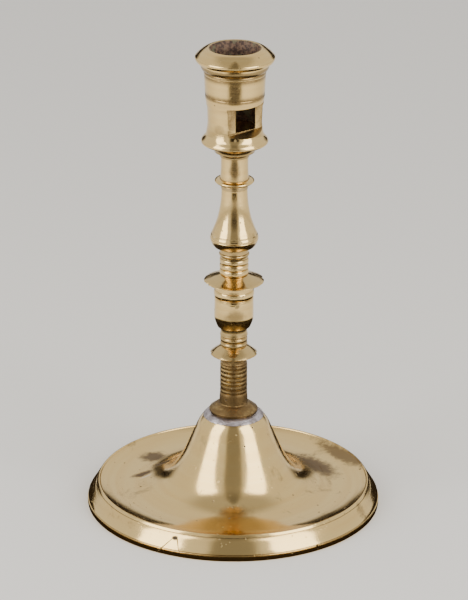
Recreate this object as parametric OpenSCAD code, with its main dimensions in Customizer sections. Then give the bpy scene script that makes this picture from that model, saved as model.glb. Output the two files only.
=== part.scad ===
// Turned brass candlestick. A dished foot with a bell carries a stem of turned
// members, stacked on an iron tie rod, and a candle socket with a filed window.
// Millimetres, +Z up, origin at the centre of the foot, on the surface it stands on.

/* [Foot] */
// Radius of the foot at its bottom edge
foot_r = 71.2; // [64:0.1:80]
// Height of the plain band round the bottom edge
foot_band_h = 2.5; // [1.8:0.1:4]
// Width of the groove above the band
foot_groove_w = 0.8; // [0.4:0.1:1.2]
// Depth of the groove above the band
foot_groove_d = 0.4; // [0.2:0.05:0.8]
// How far the wall leans in from the groove to the lip
foot_wall_lean = 4.6; // [2:0.1:8]
// Height of the lip above the table
foot_lip_z = 11.5; // [9:0.1:15]
// Width of the rounded lip
foot_lip_w = 1.2; // [0.8:0.1:2]
// Width of the step inside the lip, down to the dish
foot_dish_side = 15; // [10:0.5:20]
// How far the lowest ring of the dish lies below the lip
foot_dish_drop = 2.8; // [1.5:0.1:4]
// Thickness of the cast metal
foot_wall = 2.2; // [1.8:0.1:3]

/* [Bell] */
// Height of the flat seat on the crown of the bell
crown_z = 46.6; // [40:0.2:55]
// Radius of the flat seat
crown_seat_r = 12.2; // [11.9:0.1:14]
// Thickness of the crown
crown_t = 4; // [3:0.1:6]
// How far the rounded shoulder stands out past the seat
shoulder_w = 5.4; // [3:0.1:6.5]
// Height of the rounded shoulder
shoulder_h = 6.2; // [4.2:0.1:8]
// Steepness of the bell where it leaves the shoulder, in degrees
bell_angle = 67; // [60:0.5:75]
// Reach of the curve that carries the bell down from the shoulder
bell_reach = 22; // [16:0.5:26]
// Reach of the curve that carries the dish in to the bell
dish_reach = 20; // [14:0.5:26]

/* [Solder] */
// How far up the flange edge the solder climbs
solder_climb = 0.7; // [0.4:0.1:0.9]
// How far down the shoulder the solder runs
solder_drop = 1.9; // [1:0.1:4]
// Thickness of the solder over the shoulder
solder_t = 0.5; // [0.3:0.1:1.2]

/* [Shank] */
// Radius of the flange at the bottom of the shank
flange_r = 11.8; // [11:0.1:13]
// Thickness of the flange edge
flange_edge_t = 2.15; // [1:0.05:3.4]
// Depth of the undercut below the flange edge
flange_undercut = 0.6; // [0.2:0.1:1]
// Rise of the flange's hollow top
flange_rise = 3; // [2:0.1:5]
// Radius of the plain collar above the flange
shank_collar_r = 7; // [6.8:0.1:8]
// Height of the plain collar
shank_collar_h = 5.55; // [3:0.05:8]
// Radius of the reeded shank over its reeds
shank_r = 6.65; // [6.3:0.05:7.2]
// Depth between the reeds
shank_reed_d = 0.2; // [0.1:0.02:0.4]
// Number of reeds on the shank
shank_reeds = 7; // [5:1:12]
// Distance from one reed to the next
shank_reed_pitch = 2.2; // [1.4:0.05:2.65]
// Height of the hollow under the lower disc
shank_neck_h = 3.8; // [2:0.1:5]
// Depth of the hollow under the lower disc
shank_neck_d = 0.5; // [0.2:0.05:0.9]

/* [Lower disc] */
// Radius of the lower disc
lower_disc_r = 11.45; // [10:0.05:14]
// Thickness of its edge
lower_disc_edge_t = 0.5; // [0.4:0.1:1.5]
// Rise of its top from the edge to the middle
lower_disc_rise = 3.7; // [0.8:0.1:4.4]
// Swell of its top, as a share of the rise
lower_disc_swell = 0.4; // [0.2:0.05:0.5]
// How far its edge stands above its seat
lower_disc_lift = 0.8; // [0:0.1:1.2]

/* [Vase knop] */
// Radius of the two rings at the foot of the vase
vase_ring_r = 6.65; // [6.2:0.05:7.4]
// Height of each ring
vase_ring_h = 2.2; // [1.4:0.1:2.4]
// Height of the groove over each ring
vase_ring_gap = 0.4; // [0.3:0.1:1]
// Depth of the grooves
vase_groove_d = 0.5; // [0.2:0.05:0.8]
// Height of the hollow foot of the vase
vase_foot_h = 4.9; // [3:0.1:7]
// Radius at the sharp lower edge of the body
vase_edge_r = 7.9; // [7.2:0.05:8.6]
// Radius of the vase body at its widest
vase_r = 9.55; // [8.8:0.05:11]
// Height of the rounded lower part of the body
vase_bowl_h = 5.9; // [5:0.1:11]
// Height of the straighter upper part of the body
vase_wall_h = 9.1; // [4:0.1:10]
// How much narrower the body is at its top
vase_wall_lean = 0.1; // [0:0.05:0.8]
// Height of the fine ring under the bead
vase_fine_h = 0.5; // [0.3:0.1:1.6]
// How far the fine ring stands out of its grooves
vase_fine_proud = 0.25; // [0.1:0.05:0.5]
// Height of the bead round the top of the vase
vase_bead_h = 3.6; // [1.6:0.1:4.3]
// How far the bead stands past the top of the body
vase_bead_proud = 0.3; // [0.25:0.05:1]
// Height of the plain top, under the upper disc
vase_top_h = 3.15; // [1:0.1:3.8]

/* [Upper disc] */
// Radius of the upper disc
upper_disc_r = 14.5; // [12:0.05:17]
// Thickness of its edge
upper_disc_edge_t = 0.5; // [0.4:0.1:1.5]
// Rise of its top from the edge to the middle
upper_disc_rise = 3.1; // [0.8:0.1:3.7]
// Swell of its top, as a share of the rise
upper_disc_swell = 0.25; // [0.2:0.05:0.5]
// How far its edge stands above its seat
upper_disc_lift = 1; // [0:0.1:1.2]

/* [Reeded collar] */
// Radius of the collar over its reeds
collar_r = 7.1; // [6.6:0.05:8]
// Number of reeds on the collar
collar_reeds = 3; // [2:1:5]
// Distance from one reed to the next
collar_reed_pitch = 2.8; // [2.2:0.1:3.4]
// Depth between the reeds
collar_reed_d = 0.5; // [0.2:0.05:0.8]

/* [Baluster] */
// Height of the groove at the bottom of the baluster
baluster_groove_h = 1.15; // [0.8:0.1:2]
// Radius at the bottom of that groove
baluster_groove_r = 6.7; // [6.2:0.05:7.2]
// Radius of the ring above the groove
baluster_ring_r = 7.35; // [6.9:0.05:8]
// Height of that ring
baluster_ring_h = 1.6; // [1:0.1:2.4]
// Height of the hollow between the ring and the underside
baluster_hollow_h = 3.2; // [2:0.1:5]
// Radius at the waist of that hollow
baluster_hollow_r = 6.95; // [6.4:0.05:7.3]
// Radius at the sharp edge of the underside
baluster_edge_r = 9.6; // [8.4:0.05:10.4]
// Radius of the baluster at its widest
baluster_r = 11.65; // [10:0.05:13]
// Height from the sharp edge to the widest ring
baluster_under_h = 4.7; // [4:0.1:8]
// Height of the body above the widest ring
baluster_body_h = 24.6; // [16:0.2:30]
// Radius at the top of the baluster
baluster_top_r = 6.3; // [5.8:0.05:7]

/* [Neck] */
// Radius of the plain foot of the neck
neck_foot_r = 6.55; // [6.4:0.05:7.2]
// Height of the plain foot of the neck
neck_foot_h = 1.4; // [0.6:0.1:2]
// Height of the foot and the groove under the ring
neck_groove_h = 2.4; // [1.8:0.1:5]
// Radius in the groove under the ring
neck_groove_r = 6.4; // [6:0.05:6.5]
// Radius of the ring
neck_ring_r = 9.5; // [8.5:0.05:11]
// Height of the ring
neck_ring_h = 2.4; // [1.6:0.1:5]
// Radius of the column at its waist
neck_r = 6.55; // [6.1:0.05:7.2]
// How much the column widens down to the ring
neck_flare = 0.35; // [0:0.05:0.8]
// Height of the column
neck_h = 11.1; // [6:0.2:14]

/* [Candle socket] */
// Radius of the candle bore
bore_r = 10.2; // [9.8:0.05:10.8]
// Radius of the bore at its mouth
mouth_r = 11.5; // [11:0.05:12]
// Depth of the flared mouth
mouth_h = 4; // [2:0.1:6]
// Radius where the cup stands on the neck
socket_base_r = 7; // [6.6:0.05:8]
// Height of the cone under the cup
socket_cone_h = 6.6; // [2.5:0.1:7.9]
// Radius at the top of that cone
socket_cone_r = 9.6; // [9:0.1:12]
// Radius of the base moulding
socket_base_bead_r = 15.95; // [15:0.05:17.5]
// Height of the base moulding
socket_base_bead_h = 2.8; // [2.4:0.1:6]
// Height of the hollow flare above the base moulding
socket_flare_h = 8.6; // [6:0.1:11]
// Radius of the lower cup
lower_cup_r = 12.9; // [12.3:0.05:13.6]
// Height of the lower cup
lower_cup_h = 7.4; // [6:0.1:12]
// How far the lower cup widens to its top
lower_cup_flare = 0.3; // [0:0.05:0.8]
// Height of the step between the cups
cup_step_h = 4.2; // [1:0.1:5]
// How far the upper cup stands past the lower
cup_step_w = 0.85; // [0.2:0.05:1]
// Height of the upper cup
upper_cup_h = 11.4; // [6:0.1:16]
// How far the upper cup widens to its top
upper_cup_flare = 0.55; // [0.2:0.05:1.4]
// Height of the fine bead at the top of the cup
cup_bead_h = 1.6; // [1:0.1:3]
// How far the fine bead stands proud
cup_bead_proud = 0.2; // [0.1:0.05:0.5]
// Height of the hollow under the rim
rim_hollow_h = 4.1; // [3:0.1:7]
// How far the hollow's top stands past its bottom
rim_hollow_w = 1.8; // [1:0.1:3]
// Radius of the rim
rim_r = 19.05; // [18:0.05:21]
// Height of the rim's rounded edge
rim_edge_h = 2.9; // [2.5:0.1:6]
// Rise of the rim's top from its edge to the mouth
rim_rise = 3.9; // [2:0.1:4]
// Thickness of the solid floor under the bore
floor_t = 14.8; // [13:0.1:18]

/* [Window] */
// Distance of the filed flat from the bore's axis
flat_dist = 8.55; // [8.2:0.05:9.2]
// Height of the flat's lower edge above the bore floor
flat_low = -0.5; // [-2:0.1:1]
// Height of the window above the bore floor
window_h = 12.45; // [8:0.05:14]
// Fall of the sill from the flat to the outside
sill_drop = 3; // [0:0.5:5]
// Rise of the flat's top edge from left to right, in degrees
flat_slant = 3; // [0:0.5:5]

/* [Tie rod] */
// Radius of the tie rod
rod_r = 2.5; // [2:0.1:3]
// How far the rod screws up into the socket
rod_grip = 9; // [7:0.1:10]
// How far the rod shows past the nut
rod_end = 2.5; // [1:0.1:5]
// Chamfer on the ends of the rod
rod_chamfer = 0.5; // [0.2:0.1:0.8]
// Radius of the washer
washer_r = 8; // [7:0.1:10]
// Thickness of the washer
washer_t = 1.5; // [1:0.1:3]
// Width of the nut across its flats
nut_af = 10; // [8.5:0.5:12]
// Height of the nut
nut_h = 4.5; // [3:0.1:7]

/* [Fits] */
// Gap all round the rod in the members that it only passes through
rod_gap = 0.25; // [0.1:0.05:0.4]
// Gap all round the rod's thread in the nut and the socket
thread_gap = 0.05; // [0.02:0.01:0.1]
// Radius of the spigots that centre one member on the next
spigot_r = 4.4; // [4:0.1:4.8]
// How far a spigot enters the member above it
spigot_h = 1.6; // [1:0.1:2.4]
// Gap all round a spigot
spigot_gap = 0.1; // [0.05:0.01:0.2]
// Gap past the end of a spigot, so that the shoulders meet
spigot_end_gap = 0.2; // [0.1:0.05:0.5]

/* [Hidden] */
$fn = 128;
curve_steps = 14;
bead_steps = 8;
bell_steps = 28;

brass = [0.80, 0.68, 0.44];
tin_lead = [0.56, 0.54, 0.56];
iron = [0.34, 0.32, 0.30];

// Holes that follow the rod and the spigots
rod_hole_r = rod_r + rod_gap;
thread_hole_r = rod_r + thread_gap;
recess_r = spigot_r + spigot_gap;
recess_h = spigot_h + spigot_end_gap;

// Foot of the flange, which the solder grips
flange_root_r = flange_r - flange_undercut;

// Thickness of the discs where the members clamp them
lower_disc_t = lower_disc_lift + lower_disc_edge_t + lower_disc_rise;
upper_disc_t = upper_disc_lift + upper_disc_edge_t + upper_disc_rise;

// Height of each member
flange_h = flange_edge_t + flange_rise;
shank_h = flange_h + shank_collar_h + shank_reeds * shank_reed_pitch + shank_neck_h;
vase_rings_h = 2 * (vase_ring_h + vase_ring_gap);
vase_h = vase_rings_h + vase_foot_h + vase_bowl_h + vase_wall_h + vase_fine_h + vase_bead_h
       + vase_top_h;
collar_h = collar_reeds * collar_reed_pitch;
baluster_h = baluster_groove_h + baluster_ring_h + baluster_hollow_h + baluster_under_h
           + baluster_body_h;
neck_total_h = neck_groove_h + neck_ring_h + neck_h;
socket_h = socket_cone_h + socket_base_bead_h + socket_flare_h + lower_cup_h + cup_step_h
         + upper_cup_h + cup_bead_h + rim_hollow_h + rim_edge_h + rim_rise;

// Where each member stands
shank_z = crown_z;
lower_disc_z = shank_z + shank_h;
vase_z = lower_disc_z + lower_disc_t;
upper_disc_z = vase_z + vase_h;
collar_z = upper_disc_z + upper_disc_t;
baluster_z = collar_z + collar_h;
neck_z = baluster_z + baluster_h;
socket_z = neck_z + neck_total_h;
bore_floor_z = socket_z + floor_t;
washer_z = crown_z - crown_t - washer_t;
nut_z = washer_z - nut_h;

// Points along an elliptical arc about [cr, cz]
function arc_pts(cr, cz, rr, rz, a0, a1, n) =
    [for (i = [0:n]) let (a = a0 + (a1 - a0) * i / n) [cr + rr * cos(a), cz + rz * sin(a)]];

// A round bead that stands proud of a root radius, from height z up
function bead(root, proud, z, h) = arc_pts(root, z + h / 2, proud, h / 2, -90, 90, bead_steps);

// A round hollow cut into a root radius, from height z up
function hollow(root, depth, z, h) = arc_pts(root, z + h / 2, -depth, h / 2, -90, 90, bead_steps);

// Points along a Bezier curve
function curve(p0, p1, p2, p3, n) =
    [for (i = [0:n]) let (t = i / n, s = 1 - t)
        s*s*s * p0 + 3*s*s*t * p1 + 3*s*t*t * p2 + t*t*t * p3];

function reversed(p) = [for (i = [len(p) - 1:-1:0]) p[i]];

// A line of points moved sideways by d, square to the line
function shifted(p, d) =
    [for (i = [0:len(p) - 1])
        let (a = p[max(i - 1, 0)], b = p[min(i + 1, len(p) - 1)], v = (b - a) / norm(b - a))
        p[i] + d * [v[1], -v[0]]];

// A turned member: its outline from the bottom up, the recess in its underside
// for the spigot below, its own spigot on top, and the hole for the rod
module member(z, outline, recess, spigot) {
    h = outline[len(outline) - 1][1];
    under = recess > 0
        ? [[rod_hole_r, recess], [recess_r, recess], [recess_r, 0]]
        : [[rod_hole_r, outline[0][1]]];
    over = spigot > 0
        ? [[spigot_r, h], [spigot_r, h + spigot], [rod_hole_r, h + spigot]]
        : [[rod_hole_r, h]];
    translate([0, 0, z]) rotate_extrude() polygon(concat(under, outline, over));
}

// Outline of the foot, from its bottom edge up and over to the seat on the crown
foot_wall_z = foot_band_h + foot_groove_w;
lip_out_r = foot_r - foot_groove_d - foot_wall_lean;
lip_in_r = lip_out_r - foot_lip_w;
dish_r = lip_in_r - foot_dish_side;
dish_z = foot_lip_z - foot_dish_drop;
shoulder_r = crown_seat_r + shoulder_w;
shoulder_z = crown_z - shoulder_h;
bell_dir = [cos(bell_angle), -sin(bell_angle)];
bell_curve = curve([shoulder_r, shoulder_z], [shoulder_r, shoulder_z] + bell_reach * bell_dir,
                   [dish_r - dish_reach, dish_z], [dish_r, dish_z], bell_steps);
shoulder_curve = curve([crown_seat_r, crown_z], [crown_seat_r + shoulder_w * 0.28, crown_z],
                       [shoulder_r, shoulder_z] - shoulder_h * 0.5 * bell_dir,
                       [shoulder_r, shoulder_z], curve_steps);
lip_round = foot_lip_w / 2;
lip_arc_from = 20;
lip_arc_to = 160;
foot_outside = concat(
    [[foot_r, 0]],
    [[foot_r, foot_band_h]],
    hollow(foot_r - foot_groove_d / 2, foot_groove_d, foot_band_h, foot_groove_w),
    arc_pts(lip_out_r - lip_round, foot_lip_z - lip_round, lip_round, lip_round, lip_arc_from, lip_arc_to,
            bead_steps),
    curve([lip_in_r, foot_lip_z - lip_round], [lip_in_r - foot_dish_side * 0.3, dish_z + lip_round],
          [lip_in_r - foot_dish_side * 0.6, dish_z], [dish_r, dish_z], curve_steps),
    reversed(bell_curve),
    reversed(shoulder_curve));

// The hollow underside keeps the wall's thickness
inner_bell = [for (p = shifted(bell_curve, foot_wall)) if (p[1] < crown_z - crown_t) p];
foot_inside = concat(
    [[recess_r, crown_z - crown_t], [inner_bell[0][0], crown_z - crown_t]],
    inner_bell,
    [[lip_out_r - foot_wall, dish_z - foot_wall], [foot_r - foot_groove_d - foot_wall, 0]]);

module foot() {
    color(brass) rotate_extrude()
        polygon(concat(foot_outside, [[recess_r, crown_z]], foot_inside));
}

// Soft solder round the flange and over the top of the bell's shoulder,
// thinning to nothing at its lower end
module solder_fillet() {
    seat_line = [for (p = shoulder_curve) if (p[1] > crown_z - solder_drop) p];
    skin = shifted(seat_line, -solder_t);
    last = len(seat_line) - 1;
    run = [for (i = [0:last - 1])
        let (full = cos(90 * i / last)) seat_line[i] * (1 - full) + skin[i] * full];
    color(tin_lead) rotate_extrude()
        polygon(concat(
            [[flange_root_r, crown_z], [flange_root_r, crown_z + solder_climb]],
            run,
            reversed(seat_line)));
}

// Flange, plain collar, fine reeds and a hollow neck under the lower disc
module shank() {
    reeds_z = flange_h + shank_collar_h;
    neck_low_z = reeds_z + shank_reeds * shank_reed_pitch;
    edge_low_z = flange_edge_t * 0.55;
    outline = concat(
        [[flange_root_r, 0], [flange_root_r, edge_low_z]],
        [[flange_r, edge_low_z + flange_undercut * 0.3], [flange_r, flange_edge_t]],
        curve([flange_r, flange_edge_t], [flange_r - 2, flange_edge_t + flange_rise * 0.5],
              [shank_collar_r + 1.5, flange_h - 0.4], [shank_collar_r + 0.3, flange_h], curve_steps),
        [[shank_collar_r, flange_h + 0.4], [shank_r, reeds_z]],
        [for (i = [0:shank_reeds - 1])
            each bead(shank_r - shank_reed_d, shank_reed_d, reeds_z + i * shank_reed_pitch,
                      shank_reed_pitch)],
        hollow(shank_r, shank_neck_d, neck_low_z, shank_neck_h));
    color(brass) member(shank_z, concat([[spigot_r, spigot_end_gap - crown_t], [spigot_r, 0]], outline),
                        0, lower_disc_t + spigot_h);
}

// A plain ring
module ring(outer_r, inner_r, h) {
    rotate_extrude() polygon([[inner_r, 0], [outer_r, 0], [outer_r, h], [inner_r, h]]);
}

// A thin turned disc with a hollow top, clamped between two members
module drip_disc(z, r, edge_t, rise, swell, lift, seat_low_r, seat_high_r) {
    top = lift + edge_t + rise;
    edge = edge_t / 2;
    color(brass) translate([0, 0, z]) rotate_extrude()
        polygon(concat(
            [[recess_r, 0], [seat_low_r, 0]],
            arc_pts(r - edge, lift + edge, edge, edge, -90, 90, bead_steps),
            curve([r - edge, lift + edge_t], [r - edge - 1.2, lift + edge_t + rise * swell],
                  [seat_high_r + 1.6, top - rise * 0.3], [seat_high_r, top], curve_steps),
            [[recess_r, top]]));
}

module lower_disc() {
    drip_disc(lower_disc_z, lower_disc_r, lower_disc_edge_t, lower_disc_rise,
              lower_disc_swell, lower_disc_lift, shank_r, vase_ring_r - vase_groove_d);
}

// Two rings, a hollow foot, a rounded body, a fine ring and a bead
module vase_knop() {
    step = vase_ring_h + vase_ring_gap;
    root_r = vase_ring_r - vase_groove_d;
    foot_z = vase_rings_h;
    bowl_z = foot_z + vase_foot_h;
    wall_z = bowl_z + vase_bowl_h;
    fine_z = wall_z + vase_wall_h;
    bead_z = fine_z + vase_fine_h;
    top_z = bead_z + vase_bead_h;
    body_top_r = vase_r - vase_wall_lean;
    bead_root_r = body_top_r - vase_fine_proud;
    outline = concat(
        [for (i = [0:1]) each concat(
            bead(root_r, vase_groove_d, i * step, vase_ring_h), [[root_r, (i + 1) * step]])],
        curve([vase_ring_r + 0.15, foot_z + 0.5], [vase_ring_r, foot_z + 1.6],
              [root_r, foot_z + 2], [vase_ring_r, bowl_z], curve_steps),
        curve([vase_edge_r, bowl_z], [(vase_edge_r + vase_r) / 2, bowl_z + vase_bowl_h * 0.3],
              [vase_r, wall_z - vase_bowl_h * 0.3], [vase_r, wall_z], curve_steps),
        [[body_top_r, fine_z - 0.5]],
        bead(bead_root_r, vase_fine_proud, fine_z, vase_fine_h),
        bead(bead_root_r, vase_bead_proud + vase_fine_proud, bead_z, vase_bead_h),
        [[bead_root_r, top_z + vase_top_h]]);
    color(brass) member(vase_z, outline, recess_h, upper_disc_t + spigot_h);
}

module upper_disc() {
    drip_disc(upper_disc_z, upper_disc_r, upper_disc_edge_t, upper_disc_rise,
              upper_disc_swell, upper_disc_lift, vase_r - vase_wall_lean, collar_r - collar_reed_d);
}

// Bold reeds between the upper disc and the baluster
module reeded_collar() {
    outline = [for (i = [0:collar_reeds - 1])
        each bead(collar_r - collar_reed_d, collar_reed_d, i * collar_reed_pitch, collar_reed_pitch)];
    color(brass) member(collar_z, outline, recess_h, spigot_h);
}

// Groove, ring, hollow, flat underside and a long waisted body
module baluster() {
    ring_z = baluster_groove_h;
    hollow_z = ring_z + baluster_ring_h;
    under_z = hollow_z + baluster_hollow_h;
    wide_z = under_z + baluster_under_h;
    top_z = wide_z + baluster_body_h;
    outline = concat(
        [[baluster_groove_r, 0]],
        bead(baluster_groove_r, baluster_ring_r - baluster_groove_r, ring_z, baluster_ring_h),
        curve([baluster_hollow_r, hollow_z], [baluster_hollow_r, hollow_z + baluster_hollow_h * 0.5],
              [baluster_hollow_r, under_z - baluster_hollow_h * 0.2], [baluster_ring_r, under_z],
              curve_steps),
        curve([baluster_edge_r, under_z], [baluster_edge_r + 1.2, under_z + baluster_under_h * 0.25],
              [baluster_r, wide_z - baluster_under_h * 0.4], [baluster_r, wide_z], curve_steps),
        curve([baluster_r, wide_z], [baluster_r - 0.2, wide_z + baluster_body_h * 0.1],
              [baluster_top_r + 0.1, top_z - baluster_body_h * 0.67], [baluster_top_r, top_z], bell_steps));
    color(brass) member(baluster_z, outline, recess_h, spigot_h);
}

// Groove, ring and waisted column
module neck() {
    ring_z = neck_groove_h;
    column_z = ring_z + neck_ring_h;
    end_r = neck_r + neck_flare;
    outline = concat(
        [[neck_foot_r, 0], [neck_foot_r, neck_foot_h]],
        hollow(neck_foot_r, neck_foot_r - neck_groove_r, neck_foot_h, neck_groove_h - neck_foot_h),
        bead(end_r, neck_ring_r - end_r, ring_z, neck_ring_h),
        curve([end_r, column_z], [neck_r, column_z + neck_h * 0.3],
              [neck_r, column_z + neck_h * 0.7], [neck_r, column_z + neck_h], curve_steps));
    color(brass) member(neck_z, outline, recess_h, spigot_h);
}

// Heights of the socket's mouldings above its seat on the neck
base_bead_z = socket_cone_h;
flare_z = base_bead_z + socket_base_bead_h;
lower_cup_z = flare_z + socket_flare_h;
step_z = lower_cup_z + lower_cup_h;
upper_cup_z = step_z + cup_step_h;
cup_bead_z = upper_cup_z + upper_cup_h;
rim_hollow_z = cup_bead_z + cup_bead_h;
rim_z = rim_hollow_z + rim_hollow_h;

module candle_socket() {
    base_edge = socket_base_bead_h / 2;
    lower_top_r = lower_cup_r + lower_cup_flare;
    upper_low_r = lower_top_r + cup_step_w;
    upper_top_r = upper_low_r + upper_cup_flare;
    rim_edge = rim_edge_h / 2;
    mouth_z = rim_z + rim_edge_h + rim_rise;
    outline = concat(
        curve([socket_base_r, 0], [socket_base_r, socket_cone_h * 0.3],
              [socket_cone_r - 1.5, socket_cone_h * 0.38], [socket_cone_r, socket_cone_h * 0.38],
              curve_steps),
        curve([socket_cone_r, socket_cone_h * 0.38], [socket_cone_r + 0.2, socket_cone_h * 0.8],
              [socket_cone_r + 2, socket_cone_h * 0.95], [socket_base_bead_r - base_edge, base_bead_z],
              curve_steps),
        arc_pts(socket_base_bead_r - base_edge, base_bead_z + base_edge * 0.7, base_edge, base_edge * 0.7,
                -90, 0, bead_steps),
        curve([socket_base_bead_r, base_bead_z + base_edge * 0.8], [socket_base_bead_r, flare_z - 0.3],
              [lower_cup_r + 1.4, flare_z + 0.4], [lower_cup_r + 0.8, flare_z + socket_flare_h * 0.25],
              curve_steps),
        curve([lower_cup_r + 0.7, flare_z + socket_flare_h * 0.3],
              [lower_cup_r + 0.3, lower_cup_z - socket_flare_h * 0.5],
              [lower_cup_r, lower_cup_z - socket_flare_h * 0.3], [lower_cup_r, lower_cup_z], curve_steps),
        [[lower_top_r, step_z]],
        curve([lower_top_r + cup_step_w * 0.45, step_z + cup_step_h * 0.2],
              [lower_top_r + cup_step_w * 0.5, step_z + cup_step_h * 0.5],
              [upper_low_r - cup_step_w * 0.2, upper_cup_z - cup_step_h * 0.4],
              [upper_low_r, upper_cup_z], curve_steps),
        [[upper_top_r, cup_bead_z - 0.2], [upper_top_r - 0.15, cup_bead_z]],
        bead(upper_top_r, cup_bead_proud, cup_bead_z, cup_bead_h),
        curve([upper_top_r + 0.1, rim_hollow_z], [upper_top_r + 1.5, rim_hollow_z + rim_hollow_h * 0.2],
              [upper_top_r + rim_hollow_w, rim_z - rim_hollow_h * 0.5], [upper_top_r + rim_hollow_w, rim_z],
              curve_steps),
        curve([rim_r - rim_edge, rim_z], [rim_r - 0.4, rim_z + rim_edge_h * 0.15],
              [rim_r + 0.3, rim_z + rim_edge_h * 0.8], [rim_r - 0.5, rim_z + rim_edge_h], curve_steps),
        curve([rim_r - 0.5, rim_z + rim_edge_h], [rim_r - 2, rim_z + rim_edge_h + rim_rise * 0.45],
              [mouth_r + 3, mouth_z - 0.1], [mouth_r + 1, mouth_z], curve_steps),
        [[mouth_r, mouth_z - 0.4]]);
    color(brass) translate([0, 0, socket_z]) difference() {
        rotate_extrude() polygon(concat(
            [[thread_hole_r, rod_grip], [thread_hole_r, recess_h], [recess_r, recess_h], [recess_r, 0]],
            outline,
            [[bore_r, mouth_z - mouth_h], [bore_r, floor_t], [0, floor_t], [0, rod_grip]]));
        window_cut();
    }
}

// The flat filed across the lower cup, deep enough to open the bore
module window_cut() {
    reach = socket_base_bead_r + 1;
    low = floor_t + flat_low;
    high = floor_t + window_h;
    rotate([0, -flat_slant, 0]) rotate([90, 0, -90]) translate([0, 0, -reach])
        linear_extrude(2 * reach)
            polygon([[flat_dist, low], [reach, low - sill_drop], [reach, high], [flat_dist, high]]);
}

// Iron rod through every member, screwed up into the socket
module tie_rod() {
    rod_z = nut_z - rod_end;
    rod_h = socket_z + rod_grip - rod_z;
    color(iron) translate([0, 0, rod_z]) rotate_extrude()
        polygon([[0, 0], [rod_r - rod_chamfer, 0], [rod_r, rod_chamfer],
                 [rod_r, rod_h - rod_chamfer], [rod_r - rod_chamfer, rod_h], [0, rod_h]]);
}

module clamp_washer() {
    color(iron) translate([0, 0, washer_z]) ring(washer_r, rod_hole_r, washer_t);
}

module clamp_nut() {
    color(iron) translate([0, 0, nut_z]) difference() {
        cylinder(r = nut_af / sqrt(3), h = nut_h, $fn = 6);
        translate([0, 0, -1]) cylinder(r = thread_hole_r, h = nut_h + 2);
    }
}

foot();
solder_fillet();
shank();
lower_disc();
vase_knop();
upper_disc();
reeded_collar();
baluster();
neck();
candle_socket();
tie_rod();
clamp_washer();
clamp_nut();
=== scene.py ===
import math
import random

import bmesh
import bpy
from mathutils import Matrix, Vector


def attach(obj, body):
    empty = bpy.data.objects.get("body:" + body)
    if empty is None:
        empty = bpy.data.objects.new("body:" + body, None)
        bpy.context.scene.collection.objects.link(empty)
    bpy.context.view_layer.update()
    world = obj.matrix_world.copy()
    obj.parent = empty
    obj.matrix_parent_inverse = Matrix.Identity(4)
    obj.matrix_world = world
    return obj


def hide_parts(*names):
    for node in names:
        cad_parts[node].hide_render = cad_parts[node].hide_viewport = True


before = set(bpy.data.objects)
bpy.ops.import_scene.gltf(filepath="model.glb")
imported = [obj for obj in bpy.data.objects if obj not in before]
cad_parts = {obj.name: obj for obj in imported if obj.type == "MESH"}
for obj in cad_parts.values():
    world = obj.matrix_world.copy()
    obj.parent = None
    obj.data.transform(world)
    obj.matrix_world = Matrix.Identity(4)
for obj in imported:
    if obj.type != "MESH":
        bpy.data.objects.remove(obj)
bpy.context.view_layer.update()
mm = 0.001
body = "root"


# node helpers

def addNode(tree, kind, settings=None, feeds=None):
    node = tree.nodes.new("ShaderNode" + kind)
    for key, value in (settings or {}).items():
        setattr(node, key, value)
    for key, value in (feeds or {}).items():
        if isinstance(value, bpy.types.NodeSocket):
            tree.links.new(value, node.inputs[key])
        else:
            node.inputs[key].default_value = value
    return node


def doMath(tree, operation, a, b=0.0, c=0.0):
    return addNode(tree, "Math", {"operation": operation}, {0: a, 1: b, 2: c}).outputs[0]


def softStep(tree, value, low, high):
    return addNode(tree, "MapRange", {"interpolation_type": "SMOOTHSTEP"},
                   {"Value": value, "From Min": low, "From Max": high}).outputs["Result"]


def noiseOf(tree, place, scale, detail, roughness=0.5):
    return addNode(tree, "TexNoise", feeds={"Vector": place, "Scale": scale, "Detail": detail,
                                            "Roughness": roughness}).outputs["Fac"]


def mixColour(tree, factor, a, b):
    return addNode(tree, "Mix", {"data_type": "RGBA"}, {0: factor, 6: a, 7: b}).outputs[2]


def mixValue(tree, factor, a, b):
    return addNode(tree, "Mix", {"data_type": "FLOAT"}, {0: factor, 2: a, 3: b}).outputs[0]


def largest(tree, values):
    top = values[0]
    for value in values[1:]:
        top = doMath(tree, "MAXIMUM", top, value)
    return top


def plainMaterial(name, colour, roughness, specular=0.5):
    material = bpy.data.materials.new(name)
    material.use_nodes = True
    shader = material.node_tree.nodes["Principled BSDF"]
    shader.inputs["Base Color"].default_value = colour
    shader.inputs["Roughness"].default_value = roughness
    shader.inputs["Specular IOR Level"].default_value = specular
    return material, material.node_tree, shader


# camera, floor and lights

studio = {
    "cameraDistance": 1.5666, "cameraHeight": 0.7297, "cameraAzimuth": -36.0,
    "cameraPitch": 21.75, "cameraRoll": 0.25, "lens": 211.07, "sensor": 36.0,
    "floorSize": 12.0, "floorColour": (0.80, 0.79, 0.77, 1),
    "clothSize": 3.0, "clothColour": (0.02, 0.014, 0.009, 1), "clothLift": 0.0002,
    "aimHeight": 0.1, "clothRadius": 0.19, "clothSoft": 0.04,
    "patchFrom": 0.38, "patchTo": 0.70, "patchRise": 0.03, "patchFall": 0.06,
    "patchHalf": 12.0, "patchSoft": 22.0,
    "backFrom": 132.0, "backTo": 150.0, "backLow": 12.0, "backHigh": 17.0,
    "dimColour": (0.02, 0.014, 0.01, 1), "paleColour": (0.97, 0.94, 0.89, 1), "airStrength": 0.95,
    "slitAzimuth": 13.0, "slitSoft": 12.0, "slitFrom": 8.0, "slitTo": 20.0, "slitLoss": 0.68,
    "roofFrom": 48.0, "roofTo": 68.0, "roofLoss": 0.42,
}


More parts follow.
